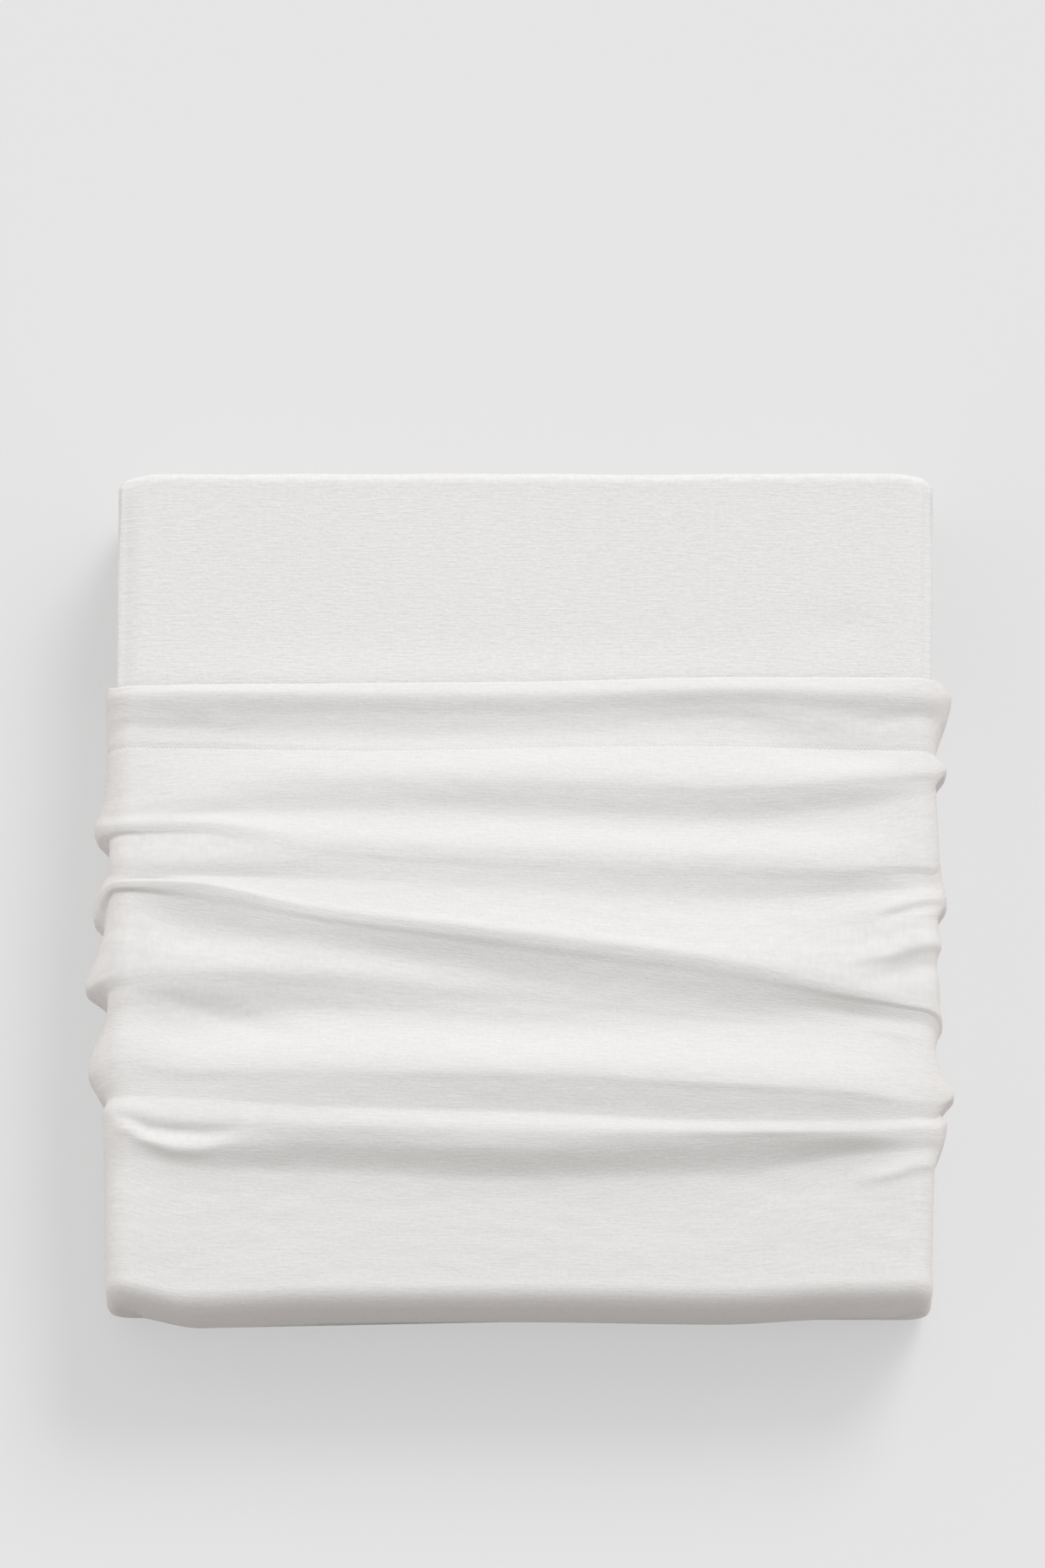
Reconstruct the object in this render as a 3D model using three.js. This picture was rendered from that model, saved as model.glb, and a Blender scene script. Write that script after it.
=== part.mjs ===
import * as THREE from "three";

// A duvet cover folded to a flat packet, with a case of the same cloth drawn over its front.
// Millimetres, +Z up. The front faces -Y, and z = 0 is the surface that it lies on.

// The folded packet
const PACKET_HALF_WIDTH = 200;
const PACKET_TOP = 66;
const PACKET_FRONT = -203.6;
const PACKET_BACK = 208;
const LAYER_COUNT = 8;
const LAYER_THICKNESS = 7.6;
const LAYER_PITCH = (PACKET_TOP - LAYER_THICKNESS) / (LAYER_COUNT - 1);
const LAYER_EDGE_THICKNESS = 1.6;
const TURN_STEPS = 6;
const STRAIGHT_STEPS = 4;
const EDGE_STEPS = 3;
const MID_STATIONS = [-110, 0, 110];

// How far each layer stops short of the packet's sides, from the top layer down
const LAYER_EDGES = [
  { left: 2.4, right: 2.4 },
  { left: 0.8, right: 1.2 },
  { left: 1.6, right: 0.6 },
  { left: 0.6, right: 1.4 },
  { left: 1.2, right: 0.6 },
  { left: 0.6, right: 1.6 },
  { left: 1.4, right: 0.8 },
  { left: 3, right: 3 },
];

// How far each turn between two layers stops short of the back or the front, from the top down
const TURN_SHORTFALL = [0, 1.2, 1.8, 0.6, 0.6, 1.4, 2.2];
const FREE_END_SHORTFALL = { top: 5.6, bottom: 4.6 };

// The case
const CLOTH = 2;
const CLEARANCE = 0.5;
const SNUG = CLOTH + CLEARANCE;
const SIDE_ROUNDING = 6;
const TOE_ROUNDING = 9;
const TOE_SIDE_ROUNDING = 4;
const TOE_SEAM_HEIGHT = 12;
const TOE_SEAM_HALF_LENGTH = 186;

// The cloth lies a little askew on the surface: sideways drift for each millimetre towards the back
const SKEW = 0.0085;

// The packet rests on the case's underside, and sinks to the surface behind it
const SINK_START = 108;
const SINK_END = 130;

// Distance round the case from the middle of its top, for each column of the fold table
const STATIONS = [-222, -198, -162, -102, 0, 102, 162, 198, 222];

// A row for each crest or valley across the case, from its hem to the smooth front panel:
// the place along Y, and the rise of the outer face over the packet, at each station
const FOLD_LINES = [
  { name: "hem_edge",
    at: [102, 103, 102, 101, 102, 104, 103, 103, 102],
    rise: [2.8, 2.6, 2.6, 2.6, 2.6, 2.6, 2.6, 2.6, 3.2], rows: 2 },
  { name: "hem_crest",
    at: [94, 98, 95, 95, 95, 98, 96, 96, 96],
    rise: [4.4, 6, 6.5, 7, 7, 7.5, 7.5, 7.5, 10], rows: 3 },
  { name: "hem_valley",
    at: [61, 61, 61, 71, 73, 75, 64, 64, 67],
    rise: [4.2, 4, 4, 4, 4, 4, 4, 3.5, 2.6], rows: 3 },
  { name: "first_crest",
    at: [41, 38, 41, 51, 50, 48, 51, 57, 59],
    rise: [6, 7.5, 8, 8.5, 8.5, 9, 9, 8.5, 8.4], rows: 3 },
  { name: "first_valley",
    at: [36, 32, 35, 35, 32, 29, 33, 44, 53],
    rise: [6.2, 5.6, 5.4, 5, 4.5, 4, 4, 3.5, 2.6], rows: 3 },
  { name: "second_crest",
    at: [31, 28, 28, 16, 12, 11, 7, 9, 10],
    rise: [10, 8, 7.4, 8.5, 9, 9, 9, 8.5, 5], rows: 2 },
  { name: "side_valley",
    at: [22, 19, 19, 10, 5, 2, -1, -2, -2],
    rise: [2.6, 4, 4.5, 6.8, 7.4, 7.2, 6, 4.5, 4], rows: 2 },
  { name: "side_crest",
    at: [5, 8, 8, 4, 0, -5, -8, -12, -9],
    rise: [8, 7.5, 7.5, 5.6, 6.4, 6, 6, 7.5, 8], rows: 2 },
  { name: "second_valley",
    at: [-1, 3, 3, -2, -7, -13, -22, -25, -18],
    rise: [7.6, 6.5, 6, 5, 5.5, 5, 5.5, 4.5, 2.6], rows: 3 },
  { name: "long_crest",
    at: [-8, -3, -3, -15, -27, -42, -49, -54, -58],
    rise: [10.4, 8.5, 8.5, 9, 11, 12, 11.5, 10.5, 5.8], rows: 3 },
  { name: "long_foot",
    at: [-22, -27, -29, -38, -43, -53, -61, -66, -74],
    rise: [4.8, 5, 4.5, 5, 7.2, 6.5, 5, 4.5, 2.6], rows: 2 },
  { name: "fourth_crest",
    at: [-50, -41, -47, -47, -55, -62, -68, -71, -79],
    rise: [14.6, 10.5, 9, 8, 6.4, 5.5, 4.5, 4, 2.6], rows: 2 },
  { name: "broad_valley",
    at: [-59, -62, -70, -68, -72, -76, -76, -78, -86],
    rise: [2.6, 5, 4.5, 4.5, 5, 5, 4.5, 4, 2.8], rows: 3 },
  { name: "fifth_crest",
    at: [-94, -92, -97, -97, -98, -102, -106, -107, -106],
    rise: [12.5, 10.5, 11, 11.5, 11.5, 11.5, 12, 11, 11.8], rows: 3 },
  { name: "sharp_valley",
    at: [-111, -110, -112, -119, -119, -123, -122, -120, -116],
    rise: [2.6, 7, 7.5, 8, 8, 8, 8, 7, 4.5], rows: 2 },
  { name: "last_crest",
    at: [-122, -118, -120, -127, -128, -127, -126, -126, -123],
    rise: [5, 8, 9.5, 10, 10.5, 10.5, 10, 8.5, 7.5], rows: 4 },
  { name: "foot",
    at: [-160, -159, -161, -165, -167, -165, -151, -147, -139],
    rise: [4.2, 2.6, 2.5, 2.5, 2.5, 2.5, 2.5, 2.5, 2.5], rows: 3 },
];

// How far the lower front of the case swells over the packet at each station
const TOE_SWELL = [2.8, 3, 7.4, 5.6, 4.8, 6.2, 3.4, 3, 2.8];
const TOE_RISE = 2.7;
const EDGE_SWELL = 0.4;
const TOE_ROUNDING_STEPS = 4;
const TOE_WALL_STEPS = 4;

// The folds on the sides die away between these distances round the case, and its base is flat
const FADE_START = 222;
const FADE_END = 252;

// Columns of the case's grid
const TOP_COLUMNS = 20;
const CORNER_COLUMNS = 3;
const SIDE_COLUMNS = 3;
const BASE_CORNER_COLUMNS = 3;

const CLOTH_COLOUR = 0xf0eeeb;
const CASE_COLOUR = 0xedebe8;

/** Eases from 0 to 1 as the value goes from one edge to the other. */
function ease(edge0, edge1, value) {
  const t = Math.min(1, Math.max(0, (value - edge0) / (edge1 - edge0)));
  return t * t * (3 - 2 * t);
}

/** Gives a smooth curve through rising or falling places that never overshoots its values. */
function smoothCurve(places, values) {
  const order = places[0] < places[places.length - 1] ? 1 : -1;
  const xs = order > 0 ? places : [...places].reverse();
  const ys = order > 0 ? values : [...values].reverse();
  const slopes = xs.slice(1).map((x, i) => (ys[i + 1] - ys[i]) / (x - xs[i]));
  const tangents = xs.map((x, i) => {
    if (i === 0 || i === xs.length - 1) return 0;
    const before = slopes[i - 1];
    const after = slopes[i];
    if (before * after <= 0) return 0;
    return (2 * before * after) / (before + after);
  });
  return (x) => {
    const clamped = Math.min(xs[xs.length - 1], Math.max(xs[0], x));
    let i = 0;
    while (i < xs.length - 2 && clamped > xs[i + 1]) i += 1;
    const width = xs[i + 1] - xs[i];
    const t = (clamped - xs[i]) / width;
    const rest = 1 - t;
    return ys[i] * (1 + 2 * t) * rest * rest
      + tangents[i] * width * t * rest * rest
      + ys[i + 1] * t * t * (3 - 2 * t)
      + tangents[i + 1] * width * t * t * (t - 1);
  };
}

/** Carries a point of the neat shape to where the cloth lies. */
function settle(point) {
  return new THREE.Vector3(point.x + SKEW * point.y, point.y, point.z);
}

/** Collects the corners and faces of one closed mesh. */
class Shell {
  constructor() {
    this.positions = [];
    this.faces = [];
  }

  /** Adds a corner and returns its number. */
  corner(point) {
    const placed = settle(point);
    this.positions.push(placed.x, placed.y, placed.z);
    return this.positions.length / 3 - 1;
  }

  /** Adds a four-sided face, seen anticlockwise from outside. */
  quad(a, b, c, d) {
    this.faces.push(a, b, c, a, c, d);
  }

  /** Adds a triangle, seen anticlockwise from outside. */
  triangle(a, b, c) {
    this.faces.push(a, b, c);
  }

  /** Makes the named mesh. */
  mesh(name, material) {
    const geometry = new THREE.BufferGeometry();
    geometry.setAttribute("position", new THREE.Float32BufferAttribute(this.positions, 3));
    geometry.setIndex(this.faces);
    geometry.computeVertexNormals();
    const mesh = new THREE.Mesh(geometry, material);
    mesh.name = name;
    return mesh;
  }
}

/** The back-and-forth line along the middle of the layers, in the plane across the folds. */
function layerLine() {
  const half = LAYER_THICKNESS / 2;
  const reach = LAYER_PITCH / 2 + half;
  const line = [];
  const layerHeight = (layer) => PACKET_TOP - half - layer * LAYER_PITCH;
  const turnCentre = (turn) => {
    const atBack = turn % 2 === 0;
    const shortfall = TURN_SHORTFALL[turn];
    return atBack ? PACKET_BACK - shortfall - reach : PACKET_FRONT + shortfall + reach;
  };
  const freeEnd = (shortfall) => PACKET_FRONT + shortfall + half;
  for (let layer = 0; layer < LAYER_COUNT; layer += 1) {
    const forward = layer % 2 === 1;
    const start = layer === 0 ? freeEnd(FREE_END_SHORTFALL.top) : turnCentre(layer - 1);
    const last = layer === LAYER_COUNT - 1;
    const end = last ? freeEnd(FREE_END_SHORTFALL.bottom) : turnCentre(layer);
    for (let step = 0; step <= STRAIGHT_STEPS; step += 1) {
      const y = start + ((end - start) * step) / STRAIGHT_STEPS;
      line.push({ y, z: layerHeight(layer), normalY: 0, normalZ: forward ? -1 : 1, layer });
    }
    if (last) break;
    const side = forward ? -1 : 1;
    for (let step = 1; step < TURN_STEPS; step += 1) {
      const angle = (Math.PI * step) / TURN_STEPS;
      line.push({
        y: end + side * (LAYER_PITCH / 2) * Math.sin(angle),
        z: layerHeight(layer) - (LAYER_PITCH / 2) * (1 - Math.cos(angle)),
        normalY: Math.sin(angle),
        normalZ: side * Math.cos(angle),
        layer: layer + step / TURN_STEPS,
      });
    }
  }
  return line;
}

/** Lowers the packet on to the surface behind the case's underside. */
function packetHeight(y, z) {
  const base = SNUG * (1 - ease(SINK_START, SINK_END, y));
  return base + (z * (PACKET_TOP - base)) / PACKET_TOP;
}

/** How far a layer stops short of the left or the right side, also on the turn below it. */
function edgeInset(layer, side) {
  const upper = LAYER_EDGES[Math.floor(layer)][side];
  const lower = LAYER_EDGES[Math.min(LAYER_COUNT - 1, Math.ceil(layer))][side];
  return upper + (lower - upper) * (layer - Math.floor(layer));
}

/** The folded packet: one section of layers with rounded edges at both sides. */
function foldedCover() {
  const shell = new Shell();
  const line = layerLine();
  const half = LAYER_THICKNESS / 2;
  const thinHalf = LAYER_EDGE_THICKNESS / 2;
  const turnAngle = Math.acos(thinHalf / half);
  const edge = (side, sign) => Array.from({ length: EDGE_STEPS + 1 }, (_, step) => {
    const angle = (turnAngle * step) / EDGE_STEPS;
    const fromSide = half * (1 - Math.sin(angle) / Math.sin(turnAngle));
    return {
      x: (layer) => sign * (PACKET_HALF_WIDTH - edgeInset(layer, side) - fromSide),
      half: half * Math.cos(angle),
    };
  });
  const stations = [
    ...edge("left", -1).reverse(),
    ...MID_STATIONS.map((x) => ({ x: () => x, half })),
    ...edge("right", 1),
  ];
  const rings = stations.map((station) => {
    const place = (node, sign) => {
      const y = node.y + sign * node.normalY * station.half;
      const z = node.z + sign * node.normalZ * station.half;
      return shell.corner(new THREE.Vector3(station.x(node.layer), y, packetHeight(y, z)));
    };
    const outer = line.map((node) => place(node, 1));
    const inner = line.map((node) => place(node, -1));
    return [...outer, ...inner.reverse()];
  });
  const count = rings[0].length;
  for (let i = 0; i + 1 < rings.length; i += 1) {
    for (let j = 0; j < count; j += 1) {
      const next = (j + 1) % count;
      shell.quad(rings[i][j], rings[i + 1][j], rings[i + 1][next], rings[i][next]);
    }
  }
  const first = rings[0];
  const last = rings[rings.length - 1];
  for (let j = 0; j + 1 < line.length; j += 1) {
    const far = count - 1 - j;
    shell.quad(first[j], first[j + 1], first[far - 1], first[far]);
    shell.quad(last[far], last[far - 1], last[j + 1], last[j]);
  }
  const material = new THREE.MeshStandardMaterial({
    color: CLOTH_COLOUR, roughness: 0.92, metalness: 0,
  });
  return shell.mesh("folded_cover", material);
}

/** A point on the packet's rounded outline and its outward direction, by distance round it. */
function outlinePoint(distance, outline) {
  const { halfWidth, top, bottom, rounding } = outline;
  const sign = Math.sign(distance) || 1;
  const arc = (rounding * Math.PI) / 2;
  const along = Math.abs(distance);
  const flatEnd = PACKET_HALF_WIDTH - SIDE_ROUNDING;
  const sideStart = flatEnd + (SIDE_ROUNDING * Math.PI) / 2;
  const sideLength = PACKET_TOP - SNUG - 2 * SIDE_ROUNDING;
  const sideEnd = sideStart + sideLength;
  const insideX = halfWidth - rounding;
  if (along <= flatEnd) {
    const x = (along / flatEnd) * insideX;
    return { x: sign * x, z: top, normalX: 0, normalZ: 1 };
  }
  if (along <= sideStart) {
    const angle = ((along - flatEnd) / (sideStart - flatEnd)) * (Math.PI / 2);
    return {
      x: sign * (insideX + rounding * Math.sin(angle)),
      z: top - rounding * (1 - Math.cos(angle)),
      normalX: sign * Math.sin(angle),
      normalZ: Math.cos(angle),
    };
  }
  if (along <= sideEnd) {
    const t = (along - sideStart) / sideLength;
    const z = top - rounding - t * (top - bottom - 2 * rounding);
    return { x: sign * halfWidth, z, normalX: sign, normalZ: 0 };
  }
  const angle = Math.min(1, (along - sideEnd) / arc) * (Math.PI / 2);
  return {
    x: sign * (insideX + rounding * Math.cos(angle)),
    z: bottom + rounding * (1 - Math.sin(angle)),
    normalX: sign * Math.cos(angle),
    normalZ: -Math.sin(angle),
  };
}

/** The distances round the case at which its grid has corners, from left base to right base. */
function girthColumns() {
  const flatEnd = PACKET_HALF_WIDTH - SIDE_ROUNDING;
  const arc = (SIDE_ROUNDING * Math.PI) / 2;
  const sideStart = flatEnd + arc;
  const sideEnd = sideStart + PACKET_TOP - SNUG - 2 * SIDE_ROUNDING;
  const half = [];
  const run = (from, to, steps) => {
    for (let step = 1; step <= steps; step += 1) {
      half.push(from + ((to - from) * step) / steps);
    }
  };
  run(0, flatEnd, TOP_COLUMNS / 2);
  run(flatEnd, sideStart, CORNER_COLUMNS);
  run(sideStart, sideEnd, SIDE_COLUMNS);
  run(sideEnd, sideEnd + arc, BASE_CORNER_COLUMNS);
  return [...half.map((value) => -value).reverse(), 0, ...half];
}

/** The crests and valleys met along the case at one distance round it, and the rise between. */
function foldsAt(distance) {
  const at = FOLD_LINES.map((line) => smoothCurve(STATIONS, line.at)(distance));
  const rises = FOLD_LINES.map((line) => smoothCurve(STATIONS, line.rise)(distance));
  const toeStart = PACKET_FRONT + TOE_ROUNDING;
  at.push(toeStart);
  rises.push(TOE_RISE);
  const fade = 1 - ease(FADE_START, FADE_END, Math.abs(distance));
  const settled = rises.map((rise) => SNUG + (rise - SNUG) * fade);
  const curve = smoothCurve(at, settled);
  const rows = [];
  FOLD_LINES.forEach((line, i) => {
    for (let step = 0; step < line.rows; step += 1) {
      const y = at[i] + ((at[i + 1] - at[i]) * step) / line.rows;
      rows.push({ y, rise: curve(y) });
    }
  });
  rows.push({ y: toeStart, rise: settled[settled.length - 1] });
  const swell = SNUG + (smoothCurve(STATIONS, TOE_SWELL)(distance) - SNUG) * fade;
  return { rows, swell, toeRise: settled[settled.length - 1] };
}

/** One wall of the case as rings of corners, each ring a trip from left base over to right base. */
function caseWall(shell, inset) {
  const columns = girthColumns().map((distance) => ({ distance, ...foldsAt(distance) }));
  const ring = (outline, forward, spotOf) => columns.map((column) => {
    const base = outlinePoint(column.distance, outline);
    const spot = spotOf(column);
    const out = spot.rise - inset;
    const sideways = out * Math.cos(forward);
    return shell.corner(new THREE.Vector3(
      base.x + base.normalX * sideways,
      spot.y - out * Math.sin(forward),
      base.z + base.normalZ * sideways,
    ));
  });
  const body = {
    halfWidth: PACKET_HALF_WIDTH, top: PACKET_TOP, bottom: SNUG, rounding: SIDE_ROUNDING,
  };
  const rings = columns[0].rows.map((_, row) => ring(body, 0, (column) => column.rows[row]));
  const swollen = (column, share) => column.toeRise + (column.swell - column.toeRise) * share;
  const frontTop = PACKET_TOP - TOE_ROUNDING;
  const frontBottom = SNUG + TOE_ROUNDING;
  const frontHalf = PACKET_HALF_WIDTH - TOE_SIDE_ROUNDING;
  for (let step = 1; step <= TOE_ROUNDING_STEPS; step += 1) {
    const turn = (Math.PI / 2) * (step / TOE_ROUNDING_STEPS);
    const drawn = 1 - Math.cos(turn);
    const outline = {
      halfWidth: PACKET_HALF_WIDTH - TOE_SIDE_ROUNDING * drawn,
      top: PACKET_TOP - TOE_ROUNDING * drawn,
      bottom: SNUG + TOE_ROUNDING * drawn,
      rounding: SIDE_ROUNDING,
    };
    const y = PACKET_FRONT + TOE_ROUNDING * (1 - Math.sin(turn));
    const share = EDGE_SWELL * Math.sin(turn);
    rings.push(ring(outline, turn, (column) => ({ y, rise: swollen(column, share) })));
  }
  for (let step = 1; step < TOE_WALL_STEPS; step += 1) {
    const t = step / TOE_WALL_STEPS;
    const outline = {
      halfWidth: frontHalf + (TOE_SEAM_HALF_LENGTH - frontHalf) * t,
      top: frontTop + (TOE_SEAM_HEIGHT - frontTop) * t,
      bottom: frontBottom + (TOE_SEAM_HEIGHT - frontBottom) * t,
      rounding: SIDE_ROUNDING * (1 - t),
    };
    const share = EDGE_SWELL + (1 - EDGE_SWELL) * ease(0, 0.6, t);
    rings.push(ring(outline, Math.PI / 2, (column) => ({
      y: PACKET_FRONT, rise: swollen(column, share),
    })));
  }
  rings.push(toeSeam(shell, columns, (column) => PACKET_FRONT - (column.swell - inset)));
  return rings;
}

/** The last ring: the top's columns lie along the toe's seam, and the sides' meet at its ends. */
function toeSeam(shell, columns, depthOf) {
  const flatEnd = PACKET_HALF_WIDTH - SIDE_ROUNDING;
  const onTop = columns.filter((column) => Math.abs(column.distance) <= flatEnd);
  const seam = onTop.map((column) => shell.corner(new THREE.Vector3(
    (column.distance / flatEnd) * TOE_SEAM_HALF_LENGTH, depthOf(column), TOE_SEAM_HEIGHT,
  )));
  const sideCount = (columns.length - seam.length) / 2;
  const ends = (corner) => Array.from({ length: sideCount }, () => corner);
  return [...ends(seam[0]), ...seam, ...ends(seam[seam.length - 1])];
}

/** Joins two rings of a wall all the way round, the underside in one stretch. */
function joinRings(shell, near, far, outward) {
  const face = (...corners) => {
    const kept = corners.filter((corner, i) => corner !== corners[(i + 1) % corners.length]);
    const turned = outward ? kept : kept.reverse();
    if (turned.length === 4) shell.quad(...turned);
    if (turned.length === 3) shell.triangle(...turned);
  };
  const last = near.length - 1;
  for (let i = 0; i < last; i += 1) {
    face(near[i], far[i], far[i + 1], near[i + 1]);
  }
  const base = far[0] === far[1] ? far : [far[0], far[last]];
  for (let i = base.length - 1; i > 0; i -= 1) {
    face(near[last], base[i], base[i - 1]);
  }
  face(near[last], far[0], near[0]);
}

/** The case: one sheet of cloth round the packet, open at its hem and shut at its toe. */
function outerCase() {
  const shell = new Shell();
  const outer = caseWall(shell, 0);
  const inner = caseWall(shell, CLOTH);
  for (let i = 0; i + 1 < outer.length; i += 1) {
    joinRings(shell, outer[i], outer[i + 1], true);
    joinRings(shell, inner[i], inner[i + 1], false);
  }
  const rim = outer[0];
  for (let i = 0; i < rim.length; i += 1) {
    const next = (i + 1) % rim.length;
    shell.quad(rim[i], rim[next], inner[0][next], inner[0][i]);
  }
  const material = new THREE.MeshStandardMaterial({
    color: CASE_COLOUR, roughness: 0.92, metalness: 0,
  });
  return shell.mesh("outer_case", material);
}

const part = new THREE.Group();
part.name = "folded_duvet_cover";
part.add(foldedCover());
part.add(outerCase());

export default part;
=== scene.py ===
"""Dresses the folded duvet cover: a flat packet with a gathered case of the same cloth."""

import logging
import math
from dataclasses import dataclass, field
from enum import Enum

import bpy
import numpy as np
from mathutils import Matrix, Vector, noise

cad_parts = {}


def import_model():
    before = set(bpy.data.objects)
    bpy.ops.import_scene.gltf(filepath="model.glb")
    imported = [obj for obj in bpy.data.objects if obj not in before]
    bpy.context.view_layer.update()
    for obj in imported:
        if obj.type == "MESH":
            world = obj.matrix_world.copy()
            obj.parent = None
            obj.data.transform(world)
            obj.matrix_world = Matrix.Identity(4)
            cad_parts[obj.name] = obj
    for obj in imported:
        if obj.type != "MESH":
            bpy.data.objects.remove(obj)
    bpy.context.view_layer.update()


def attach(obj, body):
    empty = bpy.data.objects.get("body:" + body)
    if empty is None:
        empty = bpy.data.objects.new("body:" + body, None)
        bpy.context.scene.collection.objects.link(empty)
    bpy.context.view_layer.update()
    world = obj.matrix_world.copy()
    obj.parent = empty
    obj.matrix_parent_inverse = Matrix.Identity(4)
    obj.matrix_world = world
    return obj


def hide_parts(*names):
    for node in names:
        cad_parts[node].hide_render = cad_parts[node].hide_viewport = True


LOG = logging.getLogger("folded_duvet_cover")

MM = 0.001
BODY = "root"
PHOTO_WIDTH = 1200.0
PHOTO_HEIGHT = 1800.0

# The packet under the case, in millimetres, as its solid has it
PACKET_HALF_WIDTH = 200.0
PACKET_TOP = 66.0
PACKET_FRONT = -203.6
PACKET_BACK = 208.0
SIDE_ROUNDING = 9.0
SNUG = 2.5
SKEW = 0.0085
HEM_EDGE = 102.0
STITCH_LINE = "from_stitch_line"


class Lit(Enum):
    """What a lamp shines on."""

    CLOTH = "cloth"
    FLOOR = "floor"


# Curves


def ease(start: float, end: float, value: np.ndarray) -> np.ndarray:
    """Eases from 0 to 1 between two values.

    Args:
        start: where the result is 0.
        end: where the result is 1.
        value: the values to ease.

    Returns:
        The eased values.
    """
    share = np.clip((np.asarray(value, float) - start) / (end - start), 0.0, 1.0)
    return share * share * (3.0 - 2.0 * share)


def gentle_slopes(chords: np.ndarray) -> np.ndarray:
    """Slopes at the inner points of a line that keep it from overshooting.

    Args:
        chords: the straight slopes between neighbouring points, along the first axis.

    Returns:
        One slope for each inner point.
    """
    before, after = chords[:-1], chords[1:]
    product = before * after
    total = np.where(np.abs(before + after) < 1e-9, 1.0, before + after)
    return np.where(product > 0.0, 2.0 * product / total, 0.0)


def smooth_row(places: tuple, values: tuple, at: np.ndarray) -> np.ndarray:
    """Reads a smooth line through a few values that never overshoots them.

    Args:
        places: where the values stand, rising.
        values: the values there.
        at: where the line is read.

    Returns:
        The line's value at each place asked for.
    """
    xs, ys = np.array(places, float), np.array(values, float)
    chords = np.diff(ys) / np.diff(xs)
    slopes = np.concatenate([[0.0], gentle_slopes(chords), [0.0]])
    at = np.clip(at, xs[0], xs[-1])
    i = np.clip(np.searchsorted(xs, at) - 1, 0, len(xs) - 2)
    width = xs[i + 1] - xs[i]
    t = (at - xs[i]) / width
    return hermite(t, ys[i], ys[i + 1], slopes[i] * width, slopes[i + 1] * width)


def hermite(
    t: np.ndarray, start: np.ndarray, end: np.ndarray, out: np.ndarray, into: np.ndarray
) -> np.ndarray:
    """A cubic line between two values.

    Args:
        t: the share of the way, 0 to 1.
        start: the value at 0.
        end: the value at 1.
        out: the slope with which it leaves.
        into: the slope with which it arrives.

    Returns:
        The line's value.
    """
    rest = 1.0 - t
    return (
        start * (1.0 + 2.0 * t) * rest * rest
        + out * t * rest * rest
        + end * t * t * (3.0 - 2.0 * t)
        + into * t * t * (t - 1.0)
    )


def unevenness(
    u: np.ndarray, v: np.ndarray, length: float, breadth: float, seed: float
) -> np.ndarray:
    """Soft irregular waves, as cloth has when it isn't pressed.

    Args:
        u: places along the waves, in millimetres.
        v: places across them, in millimetres.
        length: how long a wave is.
        breadth: how broad it is.
        seed: picks another pattern.

    Returns:
        Values from about -1 to 1.
    """
    flat = [
        noise.noise(Vector((a / length, b / breadth, seed)))
        for a, b in zip(u.ravel(), v.ravel())
    ]
    return 1.7 * np.array(flat).reshape(u.shape)


# Folds


@dataclass(frozen=True)
class FoldLine:
    """A crest, valley or crease that runs across the case.

    Attributes:
        name: what it is.
        at: its place along Y at each station round the case, in millimetres.
        rise: the height of the outer face over the packet there.
        crisp: how sharply the cloth bends there, at the left, in the middle and at the right.
    """

    name: str
    at: tuple
    rise: tuple
    crisp: tuple = (0.0, 0.0, 0.0)


# Distance round the case from the middle of its top, for each column of the fold table
STATIONS = (-210.0, -198.0, -162.0, -102.0, 0.0, 102.0, 162.0, 198.0, 210.0)

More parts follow.
